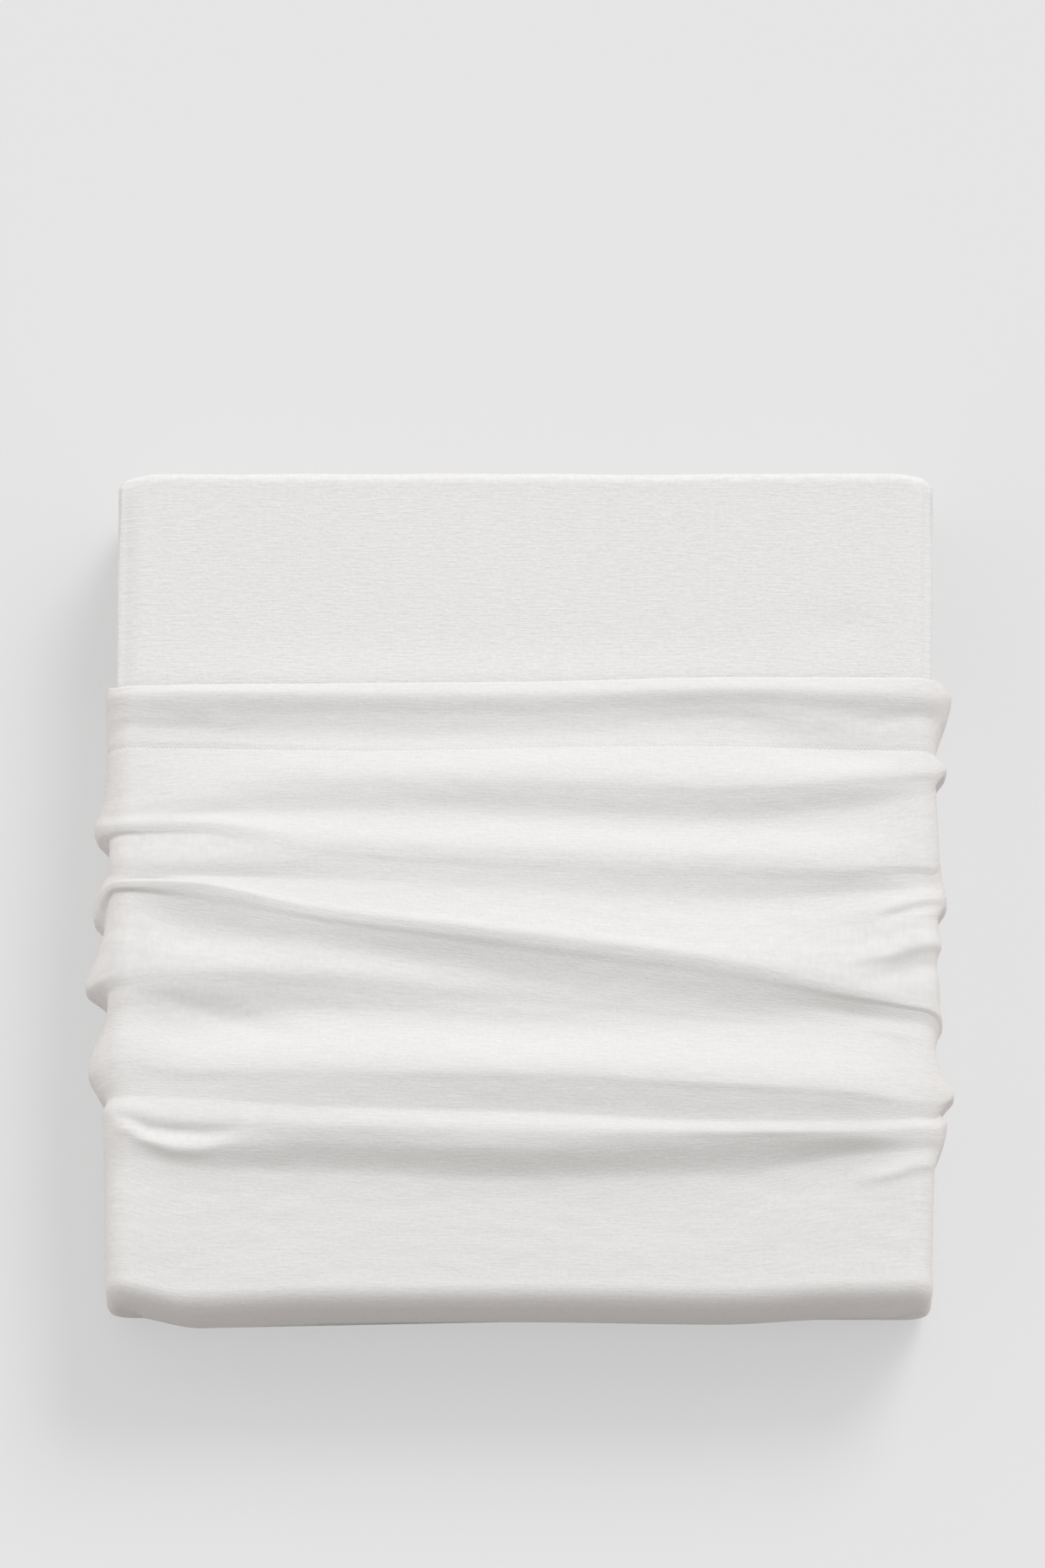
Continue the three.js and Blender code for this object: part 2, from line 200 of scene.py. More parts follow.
# Most inner places and rises were worked out by a program, and some were moved afterwards
FOLD_LINES = (
    FoldLine("hem_edge",
             (102, 98.5, 99.2, 99.7, 100.6, 102.8, 102.8, 102.4, 101.5),
             (4.6, 4.2, 4.5, 4.5, 4.5, 4.5, 4.5, 4.4, 6.8)),
    FoldLine("hem_crest",
             (96.5, 94.2, 94.7, 94.2, 93.8, 96.5, 95.1, 94.5, 97),
             (5.4, 5.2, 6.4, 6.3, 6.4, 6.4, 6.5, 5.7, 9.8)),
    FoldLine("hem_front",
             (88, 86.6, 82.6, 83.5, 83.4, 88.6, 85.1, 83.6, 87.5),
             (4.8, 3.4, 3.3, 3.2, 3.7, 3.9, 3.7, 2.9, 8)),
    FoldLine("hem_valley",
             (74, 72.3, 75.1, 75.1, 75.6, 77.6, 67.9, 70.6, 68.5),
             (4.6, 2.1, 1.9, 1.9, 3.0, 2.2, 1.8, 1.8, 2.3)),
    FoldLine("first_crest",
             (45, 43.6, 45.7, 49.8, 49.1, 46.9, 50.9, 55.2, 60.8),
             (6.4, 3.2, 5.7, 7.4, 10.1, 9.9, 7.8, 4.6, 8.4)),
    FoldLine("first_crease",
             (41, 37.4, 40.8, 44.6, 43.9, 41.5, 46.4, 51.6, 57.6),
             (7.6, 3.8, 6.3, 7.1, 9.5, 8.7, 6.9, 3.8, 7.4), (0, 0.3, 0.7)),
    FoldLine("first_valley",
             (37, 33.8, 34.6, 35.9, 33, 29.5, 35.3, 44.3, 53.9),
             (9, 4.2, 6.2, 6.3, 7.5, 5.7, 3.7, 2.9, 2.8)),
    FoldLine("second_crest",
             (31.4, 28, 27.5, 19.6, 11.6, 9.9, 6.8, 8, 14.5),
             (11.2, 6.1, 8.3, 11.3, 13.2, 11.2, 9.5, 4.9, 4.8)),
    FoldLine("side_lip",
             (25.6, 25.5, 25.3, 17.3, 9.4, 6.8, 4.7, 5.5, 13),
             (9.6, 5.6, 8.1, 11.6, 13.2, 11.3, 9.3, 4.2, 5.2)),
    FoldLine("side_valley",
             (22, 23.3, 22.8, 14.2, 6.8, 3.8, 2.2, 3.5, 11),
             (3, 3.9, 7.6, 11.8, 12.9, 11, 8.6, 3.5, 5.4), (0.9, 0.3, 0.4)),
    FoldLine("side_crest",
             (15, 9, 6.8, 9.8, 2.6, -1.2, -1.5, 0.5, 8),
             (2.2, 4.5, 9.7, 11.6, 12.2, 9.8, 7.4, 3.4, 5.7)),
    FoldLine("second_valley",
             (8.5, 3.3, 1.2, -0.5, -5.2, -10.6, -7.3, -1.8, 5),
             (2.2, 4.3, 8.9, 10.4, 11.7, 8.4, 6, 3.6, 6.2), (0.8, 0.1, 0.1)),
    FoldLine("shelf_crest",
             (2.5, 1.2, -0.3, -7.1, -15.4, -25.6, -18.4, -12.6, -7.5),
             (6.6, 5.0, 9.8, 11.9, 13.5, 11.9, 7.8, 6.3, 8.6)),
    FoldLine("shelf_crease",
             (-3, 0.1, -1.5, -11.8, -23.2, -33.3, -23.8, -18.6, -15.5),
             (9.2, 5.5, 10.7, 13.3, 16.1, 14.3, 8.3, 5.2, 3), (0, 0, 0.9)),
    FoldLine("long_crest",
             (-10.5, -0.9, -3, -16.7, -29.9, -43.8, -55.9, -60.2, -61),
             (11.2, 6.2, 11.5, 14.8, 18.2, 17.2, 12.9, 5.6, 5.6)),
    FoldLine("long_lip",
             (-16, -3.4, -6.4, -19.7, -34.1, -48, -59.7, -64.6, -68.5),
             (10.2, 5.8, 10.9, 14.5, 17.4, 16.4, 12.1, 5.4, 6.8)),
    FoldLine("long_crease",
             (-20.3, -5, -10.8, -22.5, -38.4, -52.8, -62.6, -66.8, -72.5),
             (4.8, 3.8, 9.1, 13.4, 15.2, 14.3, 9.8, 4, 4.8), (1, 0.4, 0.6)),
    FoldLine("long_foot",
             (-24, -14.7, -25.8, -35, -51.9, -64.1, -69.5, -73, -77.3),
             (5.4, 3.9, 5.7, 10.6, 10.8, 10.2, 6.6, 2.7, 3.8)),
    FoldLine("fourth_crest",
             (-50.2, -47.2, -45.9, -47.8, -58.8, -69.1, -73, -77.5, -82),
             (14.2, 6, 9.8, 12.2, 10.1, 9.2, 6.9, 3.2, 3.2)),
    FoldLine("fourth_crease",
             (-57.4, -54.6, -53.1, -57.8, -64.7, -72.6, -74.8, -80.2, -86),
             (2.5, 4.2, 8.7, 9.9, 9.3, 9.1, 7.2, 3.5, 3.2), (1, 0.1, 0)),
    FoldLine("broad_valley",
             (-64, -65.1, -72.4, -67, -70.5, -75.9, -77.6, -85.6, -90),
             (3.8, 3.6, 4.2, 7.9, 9.2, 9.6, 7.8, 3.9, 4.2)),
    FoldLine("fifth_crest",
             (-92.5, -92.4, -96.4, -98.2, -99.5, -104.9, -108.1, -111.1, -104.2),
             (12, 6, 9.6, 15.6, 17.3, 17.4, 14.4, 6.4, 12.4)),
    FoldLine("fifth_crease",
             (-102.5, -101.8, -102.8, -104.1, -105.8, -109.4, -113.4, -115.6, -109.5),
             (7.6, 5.3, 8.6, 14.7, 16, 16.2, 12.9, 5.8, 8.5), (0.4, 0.8, 0.9)),
    FoldLine("sharp_valley",
             (-111.2, -108.6, -110.6, -116, -118.8, -123.4, -122.6, -119.4, -113.5),
             (2.2, 4.2, 8.1, 12.6, 12.9, 12.9, 10.4, 5.2, 5.4), (0.8, 0.7, 0.5)),
    FoldLine("last_crest",
             (-116.5, -116.2, -120.8, -125, -128.2, -128.8, -128, -124.8, -118.2),
             (4.2, 5.8, 9.5, 14.0, 15.0, 14.2, 11.3, 6.5, 9.3)),
    FoldLine("last_shoulder",
             (-126, -128.4, -134.6, -132.4, -135, -132.6, -130.2, -129, -125),
             (4, 4.6, 8.5, 12.3, 13.6, 12.6, 10.7, 5.9, 8.2)),
    FoldLine("last_flank",
             (-139, -138.4, -145.4, -148.4, -151.6, -149.4, -139.2, -135.9, -132),
             (3.9, 3.4, 4.3, 4.0, 4.1, 3.7, 3.9, 3.7, 6)),
    FoldLine("foot",
             (-160, -150.5, -158.6, -162.6, -164.8, -160.4, -147.6, -142.2, -139.5),
             (3, 2.9, 2.9, 2.8, 2.8, 2.8, 2.9, 2.9, 2.8)),
)


@dataclass(frozen=True)
class Crease:
    """A small soft trough or ridge, placed on the cloth.

    Attributes:
        name: what it is.
        path: its points, each (distance round the case, place along Y).
        height: how far it stands up, or below zero how deep it is.
        back: how broad its back slope is.
        front: how broad its front slope is.
    """

    name: str
    path: tuple
    height: float
    back: float
    front: float

    def lift(self, u: np.ndarray, v: np.ndarray) -> np.ndarray:
        """How far the crease lifts the cloth at each place.

        Args:
            u: distances round the cloth.
            v: places along Y.

        Returns:
            The lift, in millimetres.
        """
        points = np.array(self.path, float)
        lengths = np.hypot(*np.diff(points, axis=0).T)
        total = lengths.sum()
        best = np.full(u.shape, 1e9)
        side = np.zeros(u.shape)
        along = np.zeros(u.shape)
        done = 0.0
        for (a, b), length in zip(zip(points[:-1], points[1:]), lengths):
            way = (b - a) / length
            t = np.clip((u - a[0]) * way[0] + (v - a[1]) * way[1], 0.0, length)
            du, dv = u - a[0] - way[0] * t, v - a[1] - way[1] * t
            gap = np.hypot(du, dv)
            nearer = gap < best
            best = np.where(nearer, gap, best)
            side = np.where(nearer, dv, side)
            along = np.where(nearer, (done + t) / total, along)
            done += length
        breadth = np.where(side > 0.0, self.back, self.front)
        return self.height * np.exp(-((best / breadth) ** 2)) * np.sin(math.pi * along) ** 0.8


CREASES = (
    Crease("right_small_ridge", ((162, -43), (182, -38.5), (198, -31.5), (218, -30)), 2.0, 7, 3),
    Crease("right_small_trough", ((168, -52), (188, -46), (204, -40), (222, -40)), -1.3, 4, 5),
    Crease("pocket_trough",
           ((-199, -116), (-190, -121.5), (-184, -125), (-169, -127.3), (-152, -128.5),
            (-136, -127.5)), -2.2, 3.2, 4),
    Crease("pocket_ridge",
           ((-206, -111), (-198, -117), (-193, -125), (-185, -131), (-170, -137), (-157, -137.5),
            (-140, -133)), 1.4, 4.0, 2.6),
    Crease("right_low_ridge", ((214, -134), (198, -142), (182, -148), (162, -152)), 1.5, 6, 3),
    Crease("right_knob_crease", ((174, -20), (186, -16.5), (197, -12.5), (210, -8)), -1.6, 2.4, 3.2),
    Crease("streak", ((-192, -57), (-168, -62), (-144, -69), (-108, -82)), -1.3, 6, 7),
    Crease("hem_pucker_right", ((150, 84), (172, 81), (196, 83), (214, 80)), -0.9, 4, 4),
    Crease("hem_pucker_left", ((-214, 76), (-190, 79), (-150, 78)), -0.6, 4, 5),
    Crease("hem_pucker_middle", ((50, 82), (90, 84), (130, 81)), -0.5, 4, 4),
)


# Meshes


def settled(points: np.ndarray) -> np.ndarray:
    """Turns neat millimetres into metres where the cloth lies, a little askew.

    Args:
        points: rows of x, y and z.

    Returns:
        The rows in metres.
    """
    placed = np.array(points, float)
    placed[:, 0] += SKEW * placed[:, 1]
    return placed * MM


@dataclass
class SheetMesh:
    """Gathers the corners and faces of a sheet, with the place of each on the flat cloth.

    Attributes:
        blocks: arrays of corners, in millimetres.
        flats: each block's places on the flat cloth, in millimetres.
        faces: faces as corner numbers, seen anticlockwise from outside.
    """

    blocks: list = field(default_factory=list)
    flats: list = field(default_factory=list)
    faces: list = field(default_factory=list)

    def add(self, points: np.ndarray, flat: np.ndarray) -> list:
        """Adds corners.

        Args:
            points: the corners.
            flat: their places on the flat cloth.

        Returns:
            The corners' numbers.
        """
        start = sum(len(block) for block in self.blocks)
        self.blocks.append(points)
        self.flats.append(flat)
        return list(range(start, start + len(points)))

    def make(self, name: str) -> bpy.types.Object:
        """Makes a smooth mesh with its flat cloth laid out in a UV map, in metres.

        Args:
            name: the piece's name.

        Returns:
            The new object.
        """
        mesh = bpy.data.meshes.new(name)
        mesh.from_pydata(settled(np.concatenate(self.blocks)).tolist(), [], self.faces)
        layer = mesh.uv_layers.new(name="cloth")
        corners = np.zeros(len(mesh.loops), np.int32)
        mesh.loops.foreach_get("vertex_index", corners)
        flat = np.concatenate(self.flats)[corners] * MM
        layer.data.foreach_set("uv", flat.astype(np.float32).ravel())
        mesh.polygons.foreach_set("use_smooth", np.ones(len(mesh.polygons), bool))
        mesh.update()
        piece = bpy.data.objects.new(name, mesh)
        bpy.context.scene.collection.objects.link(piece)
        return piece


@dataclass
class Outline:
    """The packet's rounded outline at one place along it, which the case goes round.

    Attributes:
        half_width: half its width, in millimetres.
        top: the height of its top.
        bottom: the height of its underside.
        rounding: the radius of its four corners.
    """

    half_width: float = PACKET_HALF_WIDTH
    top: float = PACKET_TOP
    bottom: float = SNUG
    rounding: float = SIDE_ROUNDING

    @staticmethod
    def lengths() -> tuple:
        """Measures the outline's stretches.

        Returns:
            The distances from the middle of the top to the ends of top, corner, side and base.
        """
        arc = SIDE_ROUNDING * math.pi / 2.0
        flat = PACKET_HALF_WIDTH - SIDE_ROUNDING
        side = flat + arc + PACKET_TOP - SNUG - 2.0 * SIDE_ROUNDING
        return flat, flat + arc, side, side + arc

    def read(self, distance: np.ndarray) -> tuple:
        """The outline's points and outward directions.

        Args:
            distance: distances round the outline from the middle of its top.

        Returns:
            Arrays of x, z, and the outward direction's x and z.
        """
        flat, corner, side, base = self.lengths()
        along, sign = np.abs(distance), np.where(distance < 0.0, -1.0, 1.0)
        inside = self.half_width - self.rounding
        upper = np.clip((along - flat) / (corner - flat), 0.0, 1.0) * math.pi / 2.0
        lower = np.clip((along - side) / (base - side), 0.0, 1.0) * math.pi / 2.0
        down = np.clip((along - corner) / (side - corner), 0.0, 1.0)
        turn = upper + lower
        x = np.where(
            along <= flat, along / flat * inside, inside + self.rounding * np.sin(turn)
        )
        drop = self.rounding * (1.0 - np.cos(upper))
        drop = drop + down * (self.top - self.bottom - 2.0 * self.rounding)
        drop = drop + self.rounding * np.sin(lower)
        return sign * x, self.top - drop, sign * np.sin(turn), np.cos(turn)


@dataclass
class OuterCase:
    """The case of thin cloth, gathered over the front of the packet.

    Attributes, in millimetres:
        cloth, hem_cloth: the thickness of the cloth, and of its hem.
        column_widths: the grid's columns on top, corner, side and base.
        row_depth: the grid's rows.
        toe_...: the closed front, with its seam's place at each station.
        seam_height, seam_half_length: where the toe's seam lies.
        fade_start, fade_end: where the folds die away at the side, measured round the case.
        hem_depth, rim_bulge: the hem, and its rolled edge.
        stitch_...: the sway, step and dip of the cloth along the hem's stitches.
        broad_waves, fine_waves: height, length, breadth and pattern of the cloth's unevenness.
        least_rise: the nearest that the outer face comes to the packet.
    """

    cloth: float = 1.2
    hem_cloth: float = 1.6
    column_widths: tuple = (3.0, 1.5, 2.8, 2.4)
    row_depth: float = 1.45
    toe_seam: tuple = (-209.6, -210.0, -216.0, -213.8, -213.0, -214.2, -211.4, -211.0, -210.6)
    toe_bulge: float = 4.2
    toe_rounding: float = 8.0
    toe_under_rounding: float = 20.0
    toe_side_rounding: float = 4.0
    toe_rise: float = 2.2
    toe_edge_swell: float = 0.85
    toe_rounding_rows: int = 9
    toe_wall_rows: int = 18
    seam_height: float = 30.0
    seam_half_length: float = 184.0
    fade_start: float = 220.0
    fade_end: float = 252.0
    hem_depth: float = 34.0
    rim_bulge: float = 0.7
    stitch_sway: float = 1.2
    stitch_sway_length: float = 47.0
    stitch_step: float = 0.35
    stitch_dip: float = 0.25
    stitch_dip_width: float = 1.4
    broad_waves: tuple = (0.30, 70.0, 22.0, 1.3)
    fine_waves: tuple = (0.12, 16.0, 7.0, 4.1)
    least_rise: float = 1.9

    def columns(self) -> np.ndarray:
        """Spaces out the columns of the case's grid, an even number each side.

        Returns:
            The columns' distances round the case.
        """
        stops = [0.0]
        for end, width in zip(Outline.lengths(), self.column_widths):
            count = 2 * math.ceil((end - stops[-1]) / width / 2.0)
            stops += list(np.linspace(stops[-1], end, count + 1)[1:])
        half = np.array(stops[1:])
        return np.concatenate([-half[::-1], [0.0], half])

    def folds(self, girth: np.ndarray) -> tuple:
        """Rows of the case along its length at each column.

        Args:
            girth: the columns' distances round the case.

        Returns:
            Two arrays with a row for each step from hem to toe: the place along Y, and the rise
            of the outer face over the packet.
        """
        third = (STATIONS[0], 0.0, STATIONS[-1])
        at = [smooth_row(STATIONS, line.at, girth) for line in FOLD_LINES]
        rise = [smooth_row(STATIONS, line.rise, girth) for line in FOLD_LINES]
        crisp = [smooth_row(third, line.crisp, girth) for line in FOLD_LINES]
        at = np.array(at + [self.toe_front(girth) + self.toe_rounding])
        rise = np.array(rise + [np.full(girth.shape, self.toe_rise)])
        crisp = np.array(crisp + [np.zeros(girth.shape)])
        steps = np.maximum(1.0, np.hypot(np.diff(at, axis=0), np.diff(rise, axis=0)))
        bends = [self.bend(values, steps, crisp) for values in (at, rise)]
        ys, rises = [], []
        for i in range(len(at) - 1):
            count = max(3, math.ceil(steps[i].max() / self.row_depth))
            for t in np.arange(count) / count:
                for rows, values, (leaving, arriving) in zip((ys, rises), (at, rise), bends):
                    rows.append(hermite(
                        t, values[i], values[i + 1], leaving[i] * steps[i],
                        arriving[i] * steps[i],
                    ))
        return np.array(ys + [at[-1]]), np.array(rises + [rise[-1]])

    @staticmethod
    def bend(values: np.ndarray, steps: np.ndarray, crisp: np.ndarray) -> tuple:
        """Slopes with which the cloth leaves each fold line and arrives at the next.

        Args:
            values: a row of heights or places for each fold line.
            steps: the distances between neighbouring fold lines.
            crisp: how sharply the cloth bends at each fold line.

        Returns:
            The slopes just after each line, and those just before the next one.
        """
        chords = np.diff(values, axis=0) / steps
        inner = gentle_slopes(chords)
        leaving = np.concatenate([chords[:1], inner])
        arriving = np.concatenate([inner, chords[-1:]])
        leaving = leaving + (chords - leaving) * crisp[:-1]
        arriving = arriving + (chords - arriving) * crisp[1:]
        return leaving, arriving

    def relief(self, girth: np.ndarray, y: np.ndarray) -> np.ndarray:
        """The small creases, the hem's stitched step and the cloth's own unevenness.

        Args:
            girth: the columns' distances round the case.
            y: the places along Y.

        Returns:
            The lift of the outer face, in millimetres.
        """
        u = np.broadcast_to(girth, y.shape)
        lift = sum(crease.lift(u, y) for crease in CREASES)
        from_stitch = self.from_stitch(u, y)
        show = 0.35 + 0.65 * ease(60.0, 150.0, np.abs(u))
        lift = lift + self.stitch_step * show * ease(-0.8, 1.4, from_stitch)
        dip = np.exp(-((from_stitch / self.stitch_dip_width) ** 2))
        lift = lift - self.stitch_dip * show * dip
        for height, *wave in (self.broad_waves, self.fine_waves):
            lift = lift + height * unevenness(u, y, *wave)
        return lift

    def from_stitch(self, girth: np.ndarray, y: np.ndarray) -> np.ndarray:
        """How far behind the hem's line of stitches a place is."""
        sway = self.stitch_sway * np.sin(girth / self.stitch_sway_length)
        return y - (HEM_EDGE - self.hem_depth + sway)

    def rings(self, girth: np.ndarray) -> np.ndarray:
        """The outer face from the hem to just before the toe's seam.

        Args:
            girth: the columns' distances round the case.

        Returns:
            Its rings of points.
        """
        y, rise = self.folds(girth)
        fade = 1.0 - ease(self.fade_start, self.fade_end, np.abs(girth))
        rise = SNUG + (rise + self.relief(girth, y) - SNUG) * fade
        rise = np.maximum(rise, self.least_rise)
        rings = [self.ring(Outline(), girth, row_y, row_rise, 0.0)
                 for row_y, row_rise in zip(y, rise)]
        start = rise[-1]
        swell = self.swell(girth)
        front = self.toe_front(girth)
        front_top = PACKET_TOP - self.toe_rounding
        front_bottom = SNUG + self.toe_under_rounding
        front_half = PACKET_HALF_WIDTH - self.toe_side_rounding
        for row in range(1, self.toe_rounding_rows + 1):
            turn = math.pi / 2.0 * row / self.toe_rounding_rows
            drawn = 1.0 - math.cos(turn)
            outline = Outline(
                PACKET_HALF_WIDTH - self.toe_side_rounding * drawn,
                PACKET_TOP - self.toe_rounding * drawn,
                SNUG + self.toe_under_rounding * drawn,
            )
            place = front + self.toe_rounding * (1.0 - math.sin(turn))
            out = start + (swell - start) * self.toe_edge_swell * math.sin(turn)
            rings.append(self.ring(outline, girth, place, out, turn))
        for row in range(1, self.toe_wall_rows):
            t = row / self.toe_wall_rows
            outline = Outline(
                front_half + (self.seam_half_length - front_half) * t,
                front_top + (self.seam_height - front_top) * t,
                front_bottom + (self.seam_height - front_bottom) * t,
                SIDE_ROUNDING * (1.0 - t),
            )
            share = self.toe_edge_swell + (1.0 - self.toe_edge_swell) * ease(0.0, 0.9, t)
            out = start + (swell - start) * share
            rings.append(self.ring(outline, girth, front, out, math.pi / 2.0))
        return np.array(rings)

    def toe_front(self, girth: np.ndarray) -> np.ndarray:
        """Where the toe would be flat in front, without its swell, at each column."""
        return smooth_row(STATIONS, self.toe_seam, girth) + self.toe_bulge

    def swell(self, girth: np.ndarray) -> np.ndarray:
        """How far the toe swells out along its seam."""
        fade = 1.0 - ease(self.fade_start, self.fade_end, np.abs(girth))
        return SNUG + (self.toe_bulge - SNUG) * fade

    @staticmethod
    def ring(
        outline: Outline, girth: np.ndarray, y: np.ndarray, out: np.ndarray, turn: float
    ) -> np.ndarray:
        """One ring of points, moved out from the outline and, at the toe, towards the front.

        Args:
            outline: what it goes round.
            girth: the columns' distances round the case.
            y: the ring's place along Y.
            out: how far it is moved.
            turn: from 0, straight out, to a quarter turn, towards the front.

        Returns:
            The points.
        """
        x, z, out_x, out_z = outline.read(girth)
        return np.stack([
            x + out_x * out * math.cos(turn),
            y - out * math.sin(turn) + np.zeros(girth.shape),
            z + out_z * out * math.cos(turn),
        ], axis=1)

    def lining(self, rings: np.ndarray) -> np.ndarray:
        """The inner face, one cloth's thickness further in.

        Args:
            rings: the outer face's rings.

        Returns:
            Every other ring and column, moved in.
        """
        along = np.gradient(rings, axis=0)
        across = np.gradient(rings, axis=1)
        out = np.cross(along, across)
        out /= np.maximum(np.linalg.norm(out, axis=2, keepdims=True), 1e-9)
        turned_up = ease(-1.0, 1.0, rings[..., 1:2] - (HEM_EDGE - self.hem_depth))
        inner = rings - (self.cloth + (self.hem_cloth - self.cloth) * turned_up) * out
        inner[..., 2] = np.where(rings[..., 2] < 0.05, self.cloth, inner[..., 2])
        return inner[::2, ::2]

    def seam(self, girth: np.ndarray, inset: float) -> np.ndarray:
        """The toe's seam, which closes the rings of one face.

        Args:
            girth: the distances of the columns that meet it.
            inset: how far the face lies inside the outer one.

        Returns:
            The seam's points.
        """
        flat = Outline.lengths()[0]
        return np.stack([
            girth / flat * self.seam_half_length,
            self.toe_front(girth) - self.swell(girth) + inset,
            np.full(girth.shape, self.seam_height),
        ], axis=1)

    def build(self) -> bpy.types.Object:
        """Makes the case's mesh: both faces, the rolled hem edge and the closed toe.

        Returns:
            The case.
        """
        girth = self.columns()
        rings = self.rings(girth)
        sheet = SheetMesh()
        outer = self.face(sheet, girth, rings, 0.0)
        lining = self.lining(rings)
        inner = self.face(sheet, girth[::2], lining, self.cloth)
        rim = (rings[0, ::2] + lining[0]) / 2.0
        rim[:, 1] += self.rim_bulge
        flat = np.stack([girth[::2], np.full(len(rim), -self.rim_bulge)], axis=1)
        edge = sheet.add(rim, flat)
        for i in range(len(edge) - 1):
            sheet.faces.append((*outer[2 * i:2 * i + 3], edge[i + 1], edge[i]))
            sheet.faces.append((edge[i], edge[i + 1], inner[i + 1], inner[i]))
        sheet.faces.append((outer[-1], outer[0], edge[0], edge[-1]))
        sheet.faces.append((edge[-1], edge[0], inner[0], inner[-1]))
        case = sheet.make("gathered_case")
        away = self.from_stitch(
            np.concatenate(sheet.flats)[:, 0], np.concatenate(sheet.blocks)[:, 1]
        )
        line = case.data.attributes.new(STITCH_LINE, "FLOAT", "POINT")
        line.data.foreach_set("value", (away * MM).astype(np.float32))
        return case

    def face(
        self, sheet: SheetMesh, girth: np.ndarray, rings: np.ndarray, inset: float
    ) -> list:
        """Adds one face of the case to the mesh.

        Args:
            sheet: the mesh that is being made.
            girth: the columns' distances round the case.
            rings: the face's rings of points.
            inset: how far the face lies inside the outer one, 0 for the outer one itself.

        Returns:
            The corner numbers of the face's first ring.
        """
        count = len(girth)
        on_top = np.abs(girth) <= Outline.lengths()[0] + 1e-6
        seam = self.seam(girth[on_top], inset)
        middle = rings[:, count // 2]
        run = np.concatenate([[0.0], np.cumsum(np.linalg.norm(np.diff(middle, axis=0), axis=1))])
        flat = np.stack(np.broadcast_arrays(girth[None, :], run[:, None]), -1)
        numbers = [sheet.add(ring, place) for ring, place in zip(rings, flat)]
        ends = sheet.add(seam, np.stack([girth[on_top], np.full(len(seam), run[-1] + 2.0)], axis=1))
        side = (count - len(seam)) // 2
        closing = [ends[0]] * side + ends + [ends[-1]] * side
        for near, far in zip(numbers, numbers[1:] + [closing]):
            sheet.faces += self.band(near, far, inset > 0.0)
        return numbers[0]

    @staticmethod
    def band(near: list, far: list, turned: bool) -> list:
        """The faces between two rings, with the underside in one stretch.

        Args:
            near: the corner numbers of one ring.
            far: those of the next ring.
            turned: whether the faces look inwards.

        Returns:
            The faces.
        """
        made = []
        last = len(near) - 1
        for i in range(last):
            corners = [near[i], far[i], far[i + 1], near[i + 1]]
            made.append([c for k, c in enumerate(corners) if c != corners[(k + 1) % 4]])
        base = far if far[0] == far[1] else [far[0], far[last]]
        for i in range(len(base) - 1, 0, -1):
            if base[i] != base[i - 1]:
                made.append([near[last], base[i], base[i - 1]])
        made.append([near[last], far[0], near[0]])
        return [tuple(face[::-1] if turned else face) for face in made]


